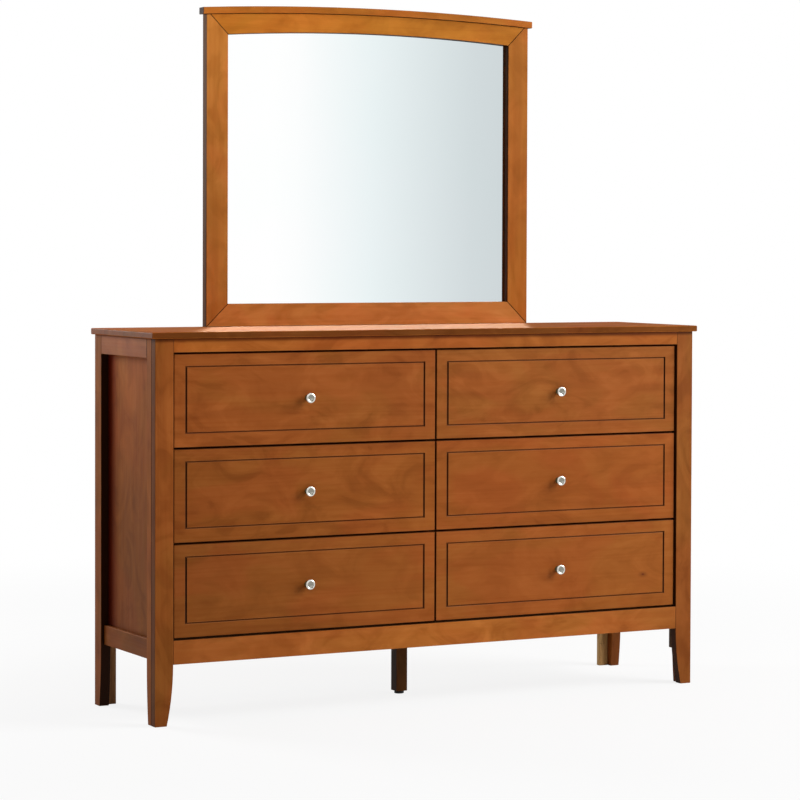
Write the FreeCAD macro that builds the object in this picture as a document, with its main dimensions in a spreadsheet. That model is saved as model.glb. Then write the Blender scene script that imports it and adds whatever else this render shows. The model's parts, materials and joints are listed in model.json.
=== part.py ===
# Dresser with mirror: a frame-and-panel case, six drawers on hardwood runners and an arched mirror
# on two uprights. Millimetres, +X to the right, +Y to the back, +Z up, drawers open towards -Y.
# The origin is on the floor, under the middle of the whole piece.
import FreeCAD, Part
import math
import os
import Sketcher

doc = FreeCAD.newDocument("dresser")
sizes = doc.addObject("Spreadsheet::Sheet", "sizes")
nodes = []
near = 0.1  # closer than this, two places count as one

# Driving dimensions
driving = {
    "topWidth": 1500,  # top board, end to end
    "topThick": 15,
    "topSide": 10,  # overhang of the top board at each end
    "topFront": 6,  # overhang of the top board at the front
    "topRound": 2.5,
    "caseHeight": 912,  # floor to the upper face of the top board
    "caseDepth": 370,  # front face of the front stiles to the back face
    "stileWidth": 46,  # front stiles
    "stileThick": 22,
    "stileFoot": 30,  # width of a front stile on the floor
    "legTaper": 142,  # height over which the legs taper
    "railThick": 20,  # front rails
    "railClear": 142,  # floor to the front bottom rail
    "bottomRailHeight": 56,
    "topRailHeight": 32,
    "sideThick": 25,  # side frames
    "sideFrontWidth": 28,  # front stile of a side frame
    "sideFrontFoot": 20,
    "sideBackWidth": 40,  # back stile of a side frame
    "sideBackFoot": 30,
    "sideTopHeight": 46,
    "sideClear": 150,  # floor to the side bottom rails
    "sideBottomHeight": 47,
    "sideBottomSet": 8,  # how far the side bottom rails stand back
    "panelThick": 6,
    "panelLap": 8,  # rebate that holds a side panel
    "backStileWidth": 25,
    "backThick": 14,  # back stiles and rails
    "backTopHeight": 80,
    "backBottomHeight": 48,
    "backPanelThick": 5,
    "blockWidth": 19,  # corner blocks behind the front stiles
    "blockThick": 12,
    "blockClear": 90,
    "cleatDepth": 30,  # cleats behind the front bottom rail
    "cleatHeight": 24,
    "partitionThick": 18,
    "partitionSet": 2,  # partition behind the drawer fronts
    "stretcherWidth": 60,
    "stretcherThick": 24,
    "legWidth": 30,  # centre leg
    "legSet": 192,  # front face of the case to the middle of the centre leg
    "footHeight": 7,
    "footWidth": 24,
    "drawerGap": 4,  # gap round each drawer front
    "frontRecess": 6,  # drawer fronts behind the face of the stiles
    "frontThick": 20,
    "frontRound": 1.5,
    "lineInset": 29,  # routed line, side edge of the front to the line
    "lineTop": 28,
    "lineBottom": 32,
    "lineWidth": 3,
    "lineDepth": 2.5,
    "boxHeight": 150,
    "boxLength": 312,
    "boxSide": 12,  # thickness of the drawer sides and back
    "boxRise": 20,  # lower edge of a drawer front to the lower edge of its box
    "boxInset": 5,  # outer end of a drawer front to the side of its box
    "boxClear": 12,  # side of a box to the partition
    "bottomThick": 5,
    "bottomRise": 12,  # lower edge of a box to its bottom
    "bottomGroove": 5,
    "runnerHeight": 16,
    "runnerTongue": 6,  # how far a runner reaches into its groove
    "runnerRise": 60,  # lower edge of a box to the groove
    "runnerGap": 0.3,  # running gap above and below a runner
    "runnerSide": 1,  # running gap at the bottom of the groove
    "runnerStop": 0.5,  # drawer front to the ends of its runners
    "knobDiameter": 24,
    "knobReach": 18,
    "knobHead": 4,  # thickness of the knob's head
    "knobEase": 0.6,  # bevel round its face
    "knobFlare": 4,  # length of the cone between stem and head
    "knobStem": 10,  # diameter of the stem
    "mirrorWidth": 912,
    "mirrorHeight": 780,  # top board to the crown of the frame, without the cap
    "mirrorThick": 22,
    "mirrorStile": 58,
    "mirrorRail": 56,  # bottom rail of the mirror frame
    "mirrorTop": 46.5,  # arched top rail at its crown
    "archRise": 14,  # of the frame's outer edge
    "glassRise": 15,  # of the arch over the glass
    "mirrorLap": 8,  # rebate that holds the glass
    "glassThick": 4,
    "glassGap": 0.5,  # room for the glass at the edges of its rebate
    "boardThick": 3,  # board behind the glass
    "capThick": 17,
    "capSide": 10.5,  # overhang of the cap at each end
    "capFront": 5,  # overhang of the cap at the front
    "supportWidth": 50,  # uprights behind the mirror
    "supportThick": 18,
    "supportSpread": 560,  # middle to middle
    "supportDrop": 110,  # length below the top board's upper face
    "supportShort": 25,  # crown of the frame to the upper ends of the uprights
}
for row, (alias, number) in enumerate(driving.items(), 1):
    sizes.set(f"A{row}", alias)
    sizes.set(f"B{row}", str(number))
    sizes.setAlias(f"B{row}", alias)
doc.recompute()

# Places that several pieces share, as expressions
halfCase = "(sizes.topWidth / 2 - sizes.topSide)"
halfOpening = f"({halfCase} - sizes.stileWidth)"
halfInside = f"({halfCase} - sizes.sideThick)"
overallDepth = "(sizes.knobReach - sizes.frontRecess + sizes.caseDepth + sizes.supportThick)"
frontFace = f"(sizes.knobReach - sizes.frontRecess - {overallDepth} / 2)"
backFace = f"({frontFace} + sizes.caseDepth)"
drawerFace = f"({frontFace} + sizes.frontRecess)"
boxFront = f"({drawerFace} + sizes.frontThick)"
panelFace = f"({backFace} - sizes.backThick - sizes.backPanelThick)"
underTop = "(sizes.caseHeight - sizes.topThick)"
sillTop = "(sizes.railClear + sizes.bottomRailHeight)"


def measure(expression):
    return float(sizes.evalExpression(expression))


def place(item, x, y, z):
    item.setExpression("Placement.Base.x", x)
    item.setExpression("Placement.Base.y", y)
    item.setExpression("Placement.Base.z", z)
    return item


def keep(item):
    nodes.append(item)
    return item


# A square board: its lowest corner and its extents along X, Y and Z
def board(name, corner, extents):
    item = doc.addObject("Part::Box", name)
    for side, extent in zip(("Length", "Width", "Height"), extents):
        item.setExpression(side, extent)
    return place(item, *corner)


def cut(name, base, tool):
    item = doc.addObject("Part::Cut", name)
    item.Base = base
    item.Tool = tool
    return item


def group(name, pieces):
    item = doc.addObject("Part::Compound", name)
    item.Links = pieces
    return item


# Arc between two corners: it bulges to the right of the way from start to end, or to the left if hollow
def arcBetween(start, end, radius, hollow):
    along = end - start
    toLeft = FreeCAD.Vector(-along.y, along.x, 0).normalize()
    reach = math.sqrt(radius ** 2 - along.Length ** 2 / 4)
    centre = (start + end) / 2 + toLeft * (-reach if hollow else reach)
    first, last = (end, start) if hollow else (start, end)
    angles = [math.atan2(p.y - centre.y, p.x - centre.x) for p in (first, last)]
    return Part.ArcOfCircle(Part.Circle(centre, FreeCAD.Vector(0, 0, 1), radius), *angles)


# Closed outline in a sketch, anticlockwise. A corner is (across, up), or (across, up, radius) where an arc
# leads on to the next corner, with a fourth item "hollow" where that arc bulges inwards.
def outline(sketch, corners):
    points = [FreeCAD.Vector(measure(c[0]), measure(c[1]), 0) for c in corners]
    edges = []
    for number, corner in enumerate(corners):
        start, end = points[number], points[(number + 1) % len(points)]
        hollow = len(corner) > 3
        if len(corner) > 2:
            index = sketch.addGeometry(arcBetween(start, end, measure(corner[2]), hollow), False)
        else:
            index = sketch.addGeometry(Part.LineSegment(start, end), False)
        edges.append((index, 2 if hollow else 1, 1 if hollow else 2))
    for number, corner in enumerate(corners):
        index, first, last = edges[number]
        following, nextFirst, nextLast = edges[(number + 1) % len(edges)]
        sketch.addConstraint(Sketcher.Constraint("Coincident", index, last, following, nextFirst))
        for kind, value in (("DistanceX", corner[0]), ("DistanceY", corner[1])):
            dimension(sketch, Sketcher.Constraint(kind, -1, 1, index, first, measure(value)), value)
        if len(corner) > 2:
            dimension(sketch, Sketcher.Constraint("Radius", index, measure(corner[2])), corner[2])


def dimension(sketch, constraint, expression):
    number = sketch.addConstraint(constraint)
    sketch.renameConstraint(number, f"size{number}")
    sketch.setExpression(f"Constraints.size{number}", expression)


def sketchOn(body, name, plane, outlines, offset="0"):
    sketch = body.newObject("Sketcher::SketchObject", name)
    support = [feature for feature in body.Origin.OriginFeatures if feature.Role == plane]
    sketch.AttachmentSupport = [(support[0], "")]
    sketch.MapMode = "FlatFace"
    sketch.setExpression("AttachmentOffset.Base.z", offset)
    for corners in outlines:
        outline(sketch, corners)
    return sketch


# Outline on the XZ plane grown backwards, or on the YZ plane grown to the right
def padded(name, plane, corners, depth):
    body = doc.addObject("PartDesign::Body", name)
    pad = body.newObject("PartDesign::Pad", f"{name}_pad")
    pad.Profile = sketchOn(body, f"{name}_outline", plane, [corners])
    pad.setExpression("Length", depth)
    pad.Reversed = plane == "XZ_Plane"
    return body


# Pocket from a distance along the plane's axis: backwards from an XZ sketch, to the left from a YZ sketch
def pocket(body, name, plane, outlines, start, depth):
    doc.recompute()
    before = body.Shape.Volume
    offset = f"-({start})" if plane == "XZ_Plane" else start
    item = body.newObject("PartDesign::Pocket", name)
    item.Profile = sketchOn(body, f"{name}_outline", plane, outlines, offset)
    item.setExpression("Length", depth)
    doc.recompute()
    if body.Shape.Volume >= before:
        raise RuntimeError(f"{name} removes nothing")
    return item


def rounded(body, name, radius, wanted):
    doc.recompute()
    base = body.Tip
    edges = [f"Edge{number}" for number, edge in enumerate(base.Shape.Edges, 1) if wanted(edge)]
    fillet = body.newObject("PartDesign::Fillet", name)
    fillet.Base = (base, edges)
    fillet.setExpression("Radius", radius)


def isAtFront(edge):
    return edge.BoundBox.YMax < near


def rectangle(left, low, right, high):
    return [(left, low), (right, low), (right, high), (left, high)]


# Radius of the arc that leaves an upright edge smoothly and comes in by one distance over a height
def taperRadius(height, inwards):
    return f"(({height})^2 + ({inwards})^2) / (2 * ({inwards}))"


def lowSide(sign, outer, width):
    return f"-{outer}" if sign < 0 else f"{outer} - {width}"


sides = (("left", -1), ("right", 1))


# Top board with eased edges at the front and the ends
def topBoard():
    width, depth = "sizes.topWidth", "sizes.caseDepth + sizes.topFront"
    body = padded("top_board", "XZ_Plane", rectangle("0", "0", width, "sizes.topThick"), depth)
    back = measure(depth)
    rounded(body, "top_board_round", "sizes.topRound", lambda edge: isEased(edge, back))
    place(body, f"-{width} / 2", f"{frontFace} - sizes.topFront", underTop)
    keep(body)


def isEased(edge, back):
    box = edge.BoundBox
    return box.ZLength < near and box.YMin < back - near


# Front stiles, each running down into a leg that tapers on its inner edge
def frontStiles():
    width, foot, taperTop = "sizes.stileWidth", "sizes.stileFoot", "sizes.legTaper"
    radius = taperRadius(taperTop, f"{width} - {foot}")
    for side, sign in sides:
        if sign < 0:
            corners = [("0", "0"), (foot, "0", radius), (width, taperTop),
                       (width, underTop), ("0", underTop)]
        else:
            toe = f"{width} - {foot}"
            corners = [(toe, "0"), (width, "0"), (width, underTop),
                       ("0", underTop), ("0", taperTop, radius)]
        body = padded(f"front_stile_{side}", "XZ_Plane", corners, "sizes.stileThick")
        keep(place(body, lowSide(sign, halfCase, width), frontFace, "0"))


# Side frames: two stiles that run down into legs, two rails and a panel in a rebate
def sideFrames():
    thick, depth, lap = "sizes.sideThick", "sizes.panelThick", "sizes.panelLap"
    front, back, taperTop = "sizes.sideFrontWidth", "sizes.sideBackWidth", "sizes.legTaper"
    frontFoot, backFoot = "sizes.sideFrontFoot", "sizes.sideBackFoot"
    frontRadius = taperRadius(taperTop, f"{front} - {frontFoot}")
    backRadius = taperRadius(taperTop, f"{back} - {backFoot}")
    toe = f"{back} - {backFoot}"
    panelLow = f"(sizes.sideClear + sizes.sideBottomHeight - {lap})"
    panelHigh = f"({underTop} - sizes.sideTopHeight + {lap})"
    railStart = f"({frontFace} + sizes.stileThick + {front})"
    railLength = f"(sizes.caseDepth - sizes.stileThick - {front} - {back})"
    setBack = "sizes.sideBottomSet"
    for side, sign in sides:
        outer = lowSide(sign, halfCase, thick)
        rebate = thick if sign < 0 else depth
        inner = f"{outer} + {rebate} - {depth}"

        corners = [("0", "0"), (frontFoot, "0", frontRadius), (front, taperTop),
                   (front, underTop), ("0", underTop)]
        body = padded(f"side_stile_front_{side}", "YZ_Plane", corners, thick)
        opening = rectangle(f"{front} - {lap}", panelLow, front, panelHigh)
        pocket(body, f"front_rebate_{side}", "YZ_Plane", [opening], rebate, depth)
        keep(place(body, outer, f"{frontFace} + sizes.stileThick", "0"))

        corners = [(toe, "0"), (back, "0"), (back, underTop), ("0", underTop), ("0", taperTop, backRadius)]
        body = padded(f"side_stile_back_{side}", "YZ_Plane", corners, thick)
        opening = rectangle("0", panelLow, lap, panelHigh)
        pocket(body, f"back_rebate_{side}", "YZ_Plane", [opening], rebate, depth)
        keep(place(body, outer, f"{backFace} - {back}", "0"))

        railLow = f"{panelHigh} - {lap}"
        blank = board(f"top_rail_blank_{side}", (outer, railStart, railLow),
                      (thick, railLength, "sizes.sideTopHeight"))
        rebated = board(f"top_rail_rebate_{side}", (inner, railStart, railLow), (depth, railLength, lap))
        keep(cut(f"side_top_rail_{side}", blank, rebated))

        left = f"{outer} + {setBack}" if sign < 0 else outer
        blank = board(f"bottom_rail_blank_{side}", (left, railStart, "sizes.sideClear"),
                      (f"{thick} - {setBack}", railLength, "sizes.sideBottomHeight"))
        rebated = board(f"bottom_rail_rebate_{side}", (inner, railStart, panelLow), (depth, railLength, lap))
        keep(cut(f"side_bottom_rail_{side}", blank, rebated))

        keep(board(f"side_panel_{side}", (inner, f"{railStart} - {lap}", panelLow),
                   (depth, f"{railLength} + 2 * {lap}", f"{panelHigh} - {panelLow}")))


# Rails between the front stiles, the blocks in the corners behind them and the cleats that close
# the gap under the lowest drawers
def frontRails():
    span = f"2 * {halfOpening}"
    keep(board("front_top_rail", (f"-{halfOpening}", frontFace, f"{underTop} - sizes.topRailHeight"),
               (span, "sizes.railThick", "sizes.topRailHeight")))
    keep(board("front_bottom_rail", (f"-{halfOpening}", frontFace, "sizes.railClear"),
               (span, "sizes.railThick", "sizes.bottomRailHeight")))
    width, clear = "sizes.blockWidth", "sizes.blockClear"
    half, high = f"({halfOpening} - sizes.stretcherWidth / 2)", "sizes.cleatHeight"
    blocks, cleats = [], []
    for side, sign in sides:
        corner = (lowSide(sign, halfInside, width), f"{frontFace} + sizes.stileThick", clear)
        tall = f"{sillTop} - {clear}"
        blocks.append(board(f"corner_block_{side}", corner, (width, "sizes.blockThick", tall)))
        corner = (lowSide(sign, halfOpening, half), f"{frontFace} + sizes.railThick", f"{sillTop} - {high}")
        cleats.append(board(f"bottom_cleat_{side}", corner, (half, "sizes.cleatDepth", high)))
    keep(group("corner_blocks", blocks))
    keep(group("bottom_cleats", cleats))


# Back of the case: stiles that stand on the floor, two rails and a thin panel in front of them
def backFrame():
    width = "sizes.backStileWidth"
    plane = f"{backFace} - sizes.backThick"
    for side, sign in sides:
        keep(board(f"back_stile_{side}", (lowSide(sign, halfInside, width), plane, "0"),
                   (width, "sizes.backThick", underTop)))
    span = f"2 * ({halfInside} - {width})"
    left = f"{width} - {halfInside}"
    keep(board("back_top_rail", (left, plane, f"{underTop} - sizes.backTopHeight"),
               (span, "sizes.backThick", "sizes.backTopHeight")))
    keep(board("back_bottom_rail", (left, plane, "sizes.sideClear"),
               (span, "sizes.backThick", "sizes.backBottomHeight")))
    keep(board("back_panel", (f"-{halfInside}", panelFace, "sizes.sideClear"),
               (f"2 * {halfInside}", "sizes.backPanelThick", f"{underTop} - sizes.sideClear")))


# Partition between the columns, the stretcher that it stands on and the leg under the stretcher
def middle():
    start = f"({boxFront} + sizes.partitionSet)"
    keep(board("centre_partition", ("-sizes.partitionThick / 2", start, sillTop),
               ("sizes.partitionThick", f"{panelFace} - {start}", f"{underTop} - {sillTop}")))
    start = f"({frontFace} + sizes.railThick)"
    under = f"({sillTop} - sizes.stretcherThick)"
    keep(board("centre_stretcher", ("-sizes.stretcherWidth / 2", start, under),
               ("sizes.stretcherWidth", f"{panelFace} - {start}", "sizes.stretcherThick")))
    width = "sizes.legWidth"
    start = f"{frontFace} + sizes.legSet - {width} / 2"
    keep(board("centre_leg", (f"-{width} / 2", start, "sizes.footHeight"),
               (width, width, f"{under} - sizes.footHeight")))
    foot = doc.addObject("Part::Cylinder", "centre_leg_foot")
    foot.setExpression("Radius", "sizes.footWidth / 2")
    foot.setExpression("Height", "sizes.footHeight")
    keep(place(foot, "0", f"{frontFace} + sizes.legSet", "0"))


# Drawers in three rows and two columns
rows = ("bottom", "middle", "top")
frontWidth = f"({halfOpening} - 1.5 * sizes.drawerGap)"
openingHeight = f"({underTop} - sizes.topRailHeight - {sillTop})"
frontHeight = f"(({openingHeight} - {len(rows) + 1} * sizes.drawerGap) / {len(rows)})"
boxWall = f"({halfOpening} - sizes.drawerGap - sizes.boxInset)"
boxInner = "(sizes.partitionThick / 2 + sizes.boxClear)"
boxWidth = f"({boxWall} - {boxInner})"
bottomInset = "(sizes.boxSide - sizes.bottomGroove)"
bottomWidth = f"({boxWidth} - 2 * {bottomInset})"
grooveHeight = "(sizes.runnerHeight + 2 * sizes.runnerGap)"


def rowLow(row):
    return f"({sillTop} + sizes.drawerGap + {row} * ({frontHeight} + sizes.drawerGap))"


# Front with its routed line and, at the back, the groove for the bottom
def drawerFront(name, x, z, sign):
    body = padded(name, "XZ_Plane", rectangle("0", "0", frontWidth, frontHeight), "sizes.frontThick")
    rounded(body, f"{name}_round", "sizes.frontRound", isAtFront)
    line = []
    for more in ("0", "sizes.lineWidth"):
        across, low, high = (f"(sizes.{inset} + {more})" for inset in ("lineInset", "lineBottom", "lineTop"))
        line.append(rectangle(across, low, f"{frontWidth} - {across}", f"{frontHeight} - {high}"))
    pocket(body, f"{name}_line", "XZ_Plane", line, "0", "sizes.lineDepth")
    boxStart = "sizes.boxInset" if sign < 0 else f"({boxInner} - sizes.drawerGap / 2)"
    start, low = f"({boxStart} + {bottomInset})", "(sizes.boxRise + sizes.bottomRise)"
    groove = rectangle(start, low, f"{start} + {bottomWidth}", f"{low} + sizes.bottomThick")
    depth = "sizes.bottomGroove"
    pocket(body, f"{name}_groove", "XZ_Plane", [groove], f"sizes.frontThick - {depth}", depth)
    keep(place(body, x, drawerFace, z))


# Two sides with a groove for the runner outside and one for the bottom inside, and the back between them
def drawerBox(name, x, z):
    long, wall, groove = "sizes.boxLength", "sizes.boxSide", "sizes.bottomGroove"
    tongue = "(sizes.runnerTongue + sizes.runnerSide)"
    pieces = []
    for side, sign in sides:
        left = x if sign < 0 else f"{x} + {boxWidth} - {wall}"
        outside = left if sign < 0 else f"{left} + {wall} - {tongue}"
        inside = f"{left} + {wall} - {groove}" if sign < 0 else left
        plank = board(f"{name}_{side}_plank", (left, boxFront, z), (wall, long, "sizes.boxHeight"))
        runner = board(f"{name}_{side}_runner_groove", (outside, boxFront, f"{z} + sizes.runnerRise"),
                       (tongue, long, grooveHeight))
        slot = board(f"{name}_{side}_bottom_groove", (inside, boxFront, f"{z} + sizes.bottomRise"),
                     (groove, long, "sizes.bottomThick"))
        pieces.append(cut(f"{name}_{side}", cut(f"{name}_{side}_grooved", plank, runner), slot))
    over = "(sizes.bottomRise + sizes.bottomThick)"
    corner = (f"{x} + {wall}", f"{boxFront} + {long} - {wall}", f"{z} + {over}")
    extents = (f"{boxWidth} - 2 * {wall}", wall, f"sizes.boxHeight - {over}")
    pieces.append(board(f"{name}_back", corner, extents))
    keep(group(name, pieces))


def drawerBottom(name, x, z):
    groove = "sizes.bottomGroove"
    keep(board(name, (f"{x} + {bottomInset}", f"{boxFront} - {groove}", f"{z} + sizes.bottomRise"),
               (bottomWidth, f"sizes.boxLength + {groove}", "sizes.bottomThick")))


# Turned knob: a stem that flares into the head, and a bevel round the head's face
def drawerKnob(name, x, z):
    reach, ease = "sizes.knobReach", "sizes.knobEase"
    head, stem = "sizes.knobDiameter / 2", "sizes.knobStem / 2"
    back = f"({reach} - sizes.knobHead)"
    corners = [("0", "0"), (reach, "0"), (reach, f"{head} - {ease}"), (f"{reach} - {ease}", head),
               (back, head), (f"{back} - sizes.knobFlare", stem), ("0", stem)]
    body = doc.addObject("PartDesign::Body", name)
    turning = body.newObject("PartDesign::Revolution", f"{name}_turning")
    turning.Profile = sketchOn(body, f"{name}_outline", "YZ_Plane", [corners])
    turning.ReferenceAxis = (turning.Profile[0], ["H_Axis"])
    turning.Angle = 360
    body.Placement.Rotation = FreeCAD.Rotation(FreeCAD.Vector(0, 0, 1), 180)
    keep(place(body, x, drawerFace, z))


def drawers():
    runners = []
    for row, level in enumerate(rows):
        low = rowLow(row)
        boxLow = f"({low} + sizes.boxRise)"
        runnerLow = f"{boxLow} + sizes.runnerRise + sizes.runnerGap"
        for column, sign in sides:
            name = f"drawer_{level}_{column}"
            left = f"-({frontWidth} + sizes.drawerGap / 2)" if sign < 0 else "sizes.drawerGap / 2"
            boxLeft = f"-{boxWall}" if sign < 0 else boxInner
            drawerFront(f"{name}_front", left, low, sign)
            drawerBox(f"{name}_box", boxLeft, boxLow)
            drawerBottom(f"{name}_bottom", boxLeft, boxLow)
            drawerKnob(f"{name}_knob", f"{left} + {frontWidth} / 2", f"{low} + {frontHeight} / 2")
            runners += runnerPair(name, sign, runnerLow)
    keep(group("drawer_runners", runners))


# One runner on the side frame and one on the partition, from just behind the drawer front to the back
def runnerPair(name, sign, low):
    start = f"({boxFront} + sizes.runnerStop)"
    length, height = f"{panelFace} - {start}", "sizes.runnerHeight"
    outerReach = f"({halfInside} - {boxWall} + sizes.runnerTongue)"
    innerReach = "(sizes.boxClear + sizes.runnerTongue)"
    outer = lowSide(sign, halfInside, outerReach)
    inner = f"-sizes.partitionThick / 2 - {innerReach}" if sign < 0 else "sizes.partitionThick / 2"
    return [board(f"{name}_runner_outer", (outer, start, low), (outerReach, length, height)),
            board(f"{name}_runner_inner", (inner, start, low), (innerReach, length, height))]


# Mirror: a mitred frame under an arched top rail and cap, with glass and a board in a rebate
def mirror():
    wide, stile, rail, lap = "sizes.mirrorWidth", "sizes.mirrorStile", "sizes.mirrorRail", "sizes.mirrorLap"
    half = f"({wide} / 2)"
    outerRadius = f"({taperRadius(half, 'sizes.archRise')})"
    halfGlass = f"({half} - {stile})"
    innerRadius = f"({taperRadius(halfGlass, 'sizes.glassRise')})"
    centre = f"(sizes.mirrorHeight - {outerRadius})"
    glassCentre = f"(sizes.mirrorHeight - sizes.mirrorTop - {innerRadius})"

    def archAt(radius, across, middle=centre):
        return f"({middle} + sqrt(({radius})^2 - ({across})^2))"

    shoulder = archAt(innerRadius, halfGlass, glassCentre)
    inside = f"({shoulder} - {centre})"
    both = f"({halfGlass} + {inside})"
    mitre = f"((sqrt({both}^2 + 2 * ({outerRadius}^2 - {halfGlass}^2 - {inside}^2)) - {both}) / 2)"
    tip, tipHigh = f"({stile} - {mitre})", f"({shoulder} + {mitre})"
    corner = archAt(outerRadius, half)

    def farSide(across):
        return f"({wide} - {across})"

    def glassOutline(spare):
        low, reach = f"({rail} - {lap} + {spare})", f"({lap} - {spare})"
        start = f"({stile} - {reach})"
        arch = f"({innerRadius} + {reach})"
        high = archAt(arch, f"{halfGlass} + {reach}", glassCentre)
        return [(start, low), (farSide(start), low), (farSide(start), high, arch), (start, high)]

    lip = "(sizes.mirrorThick - sizes.glassThick - sizes.boardThick)"
    outlines = {
        "mirror_bottom_rail": [("0", "0"), (wide, "0"), (farSide(stile), rail), (stile, rail)],
        "mirror_stile_left": [("0", "0"), (stile, rail), (stile, shoulder),
                              (tip, tipHigh, outerRadius), ("0", corner)],
        "mirror_stile_right": [(wide, "0"), (wide, corner, outerRadius), (farSide(tip), tipHigh),
                               (farSide(stile), shoulder), (farSide(stile), rail)],
        "mirror_top_rail": [(stile, shoulder, innerRadius, "hollow"), (farSide(stile), shoulder),
                            (farSide(tip), tipHigh, outerRadius), (tip, tipHigh)],
    }
    left, front = f"-{half}", f"({backFace} - sizes.mirrorThick)"
    for name, corners in outlines.items():
        body = padded(name, "XZ_Plane", corners, "sizes.mirrorThick")
        pocket(body, f"{name}_rebate", "XZ_Plane", [glassOutline("0")], lip, f"sizes.mirrorThick - {lip}")
        keep(place(body, left, front, "sizes.caseHeight"))

    pane = glassOutline("sizes.glassGap")
    glass = padded("mirror_glass", "XZ_Plane", pane, "sizes.glassThick")
    keep(place(glass, left, f"{front} + {lip}", "sizes.caseHeight"))
    backing = padded("mirror_back_board", "XZ_Plane", pane, "sizes.boardThick")
    keep(place(backing, left, f"{backFace} - sizes.boardThick", "sizes.caseHeight"))

    long, end = f"({wide} + 2 * sizes.capSide)", f"({half} + sizes.capSide)"
    capRadius = f"({outerRadius} + sizes.capThick)"
    low, high = archAt(outerRadius, end), archAt(capRadius, end)
    corners = [("0", low, outerRadius, "hollow"), (long, low), (long, high, capRadius), ("0", high)]
    cap = padded("mirror_cap", "XZ_Plane", corners, "sizes.mirrorThick + sizes.capFront")
    keep(place(cap, f"-{end}", f"{front} - sizes.capFront", "sizes.caseHeight"))

    tall = "sizes.supportDrop + sizes.mirrorHeight - sizes.supportShort"
    for side, sign in sides:
        x = f"{sign} * sizes.supportSpread / 2 - sizes.supportWidth / 2"
        keep(board(f"mirror_support_{side}", (x, backFace, "sizes.caseHeight - sizes.supportDrop"),
                   ("sizes.supportWidth", "sizes.supportThick", tall)))


topBoard()
frontStiles()
sideFrames()
frontRails()
backFrame()
middle()
drawers()
mirror()
doc.recompute()

# Every object has to be sound before anything is written
for item in doc.Objects:
    if "Invalid" in item.State or "Error" in item.State:
        raise RuntimeError(f"{item.Label} failed: {item.State}")
for item in nodes:
    if item.Shape.isNull() or not item.Shape.isValid():
        raise RuntimeError(f"{item.Label} has no valid shape")

os.makedirs("parts", exist_ok=True)
for item in nodes:
    item.Shape.exportStep(f"parts/{item.Label}.step")
print(f"{len(nodes)} nodes written")
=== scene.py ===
import json
import math
import random

import bmesh
import bpy
from mathutils import Matrix, Vector
from mathutils.bvhtree import BVHTree

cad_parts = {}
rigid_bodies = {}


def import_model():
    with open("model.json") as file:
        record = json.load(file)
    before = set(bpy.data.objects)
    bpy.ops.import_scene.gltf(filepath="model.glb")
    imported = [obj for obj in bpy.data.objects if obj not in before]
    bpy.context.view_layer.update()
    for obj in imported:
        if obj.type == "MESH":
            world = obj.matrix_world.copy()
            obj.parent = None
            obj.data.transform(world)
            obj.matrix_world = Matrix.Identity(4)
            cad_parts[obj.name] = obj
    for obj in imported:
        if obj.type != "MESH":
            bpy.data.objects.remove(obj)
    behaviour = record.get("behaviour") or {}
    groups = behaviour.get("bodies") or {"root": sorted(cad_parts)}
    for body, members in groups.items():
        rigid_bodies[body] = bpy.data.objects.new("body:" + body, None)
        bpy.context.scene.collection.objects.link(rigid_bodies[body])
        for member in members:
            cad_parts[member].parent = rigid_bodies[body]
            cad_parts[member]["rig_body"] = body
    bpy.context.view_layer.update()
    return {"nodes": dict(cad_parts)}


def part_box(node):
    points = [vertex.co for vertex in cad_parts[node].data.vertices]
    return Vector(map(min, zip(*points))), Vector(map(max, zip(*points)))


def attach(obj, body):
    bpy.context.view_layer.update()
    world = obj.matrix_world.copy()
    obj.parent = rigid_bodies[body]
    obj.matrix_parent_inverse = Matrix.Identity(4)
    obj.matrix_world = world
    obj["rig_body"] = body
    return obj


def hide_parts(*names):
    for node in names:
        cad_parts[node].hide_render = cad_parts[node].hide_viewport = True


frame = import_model()
scene = bpy.context.scene
scene.view_settings.view_transform = "Standard"
print("frame loaded,", len(frame["nodes"]), "nodes")


# camera at the photograph's viewpoint

viewpoint = {
    "place": (-3.30969, -6.20642, 1.11907),
    "turn": 28.0493,  # degrees to the right of straight ahead
    "dip": 1.5518,
    "tilt": 0.1852,
    "lens": 127.75,
    "sensor": 36.0,
    "drop": -0.1,  # lens moved down, as the photograph is cropped
}


def setCamera(view):
    lens = bpy.data.cameras.new("camera")
    lens.sensor_fit = "HORIZONTAL"
    lens.lens, lens.sensor_width, lens.shift_y = view["lens"], view["sensor"], view["drop"]
    eye = bpy.data.objects.new("camera", lens)
    scene.collection.objects.link(eye)
    turned = Matrix.Rotation(-math.radians(view["turn"]), 4, "Z")
    dipped = Matrix.Rotation(math.radians(90 - view["dip"]), 4, "X")
    tilted = Matrix.Rotation(math.radians(view["tilt"]), 4, "Z")
    eye.matrix_world = Matrix.Translation(view["place"]) @ turned @ dipped @ tilted
    scene.camera = eye


setCamera(viewpoint)
print("camera set")


# small helpers for the finishes

def addNode(tree, kind, **values):
    node = tree.nodes.new("ShaderNode" + kind)
    for key, value in values.items():
        setattr(node, key, value)
    return node


def feed(tree, socket, value):  # a link from another node, or a plain value
    if isinstance(value, bpy.types.NodeSocket):
        tree.links.new(value, socket)
    else:
        socket.default_value = value


white = (1.0, 1.0, 1.0)


def rgb(colour):
    return (colour[0], colour[1], colour[2], 1.0)


def clouds(tree, vector, stretch, detail=2.0, rough=0.5, warp=0.0):
    spread = addNode(tree, "Mapping")
    spread.inputs["Scale"].default_value = stretch
    noise = addNode(tree, "TexNoise")
    tree.links.new(vector, spread.inputs["Vector"])
    tree.links.new(spread.outputs["Vector"], noise.inputs["Vector"])
    for key, value in (("Scale", 1.0), ("Detail", detail), ("Roughness", rough), ("Distortion", warp)):
        noise.inputs[key].default_value = value
    return noise.outputs[0]


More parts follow.
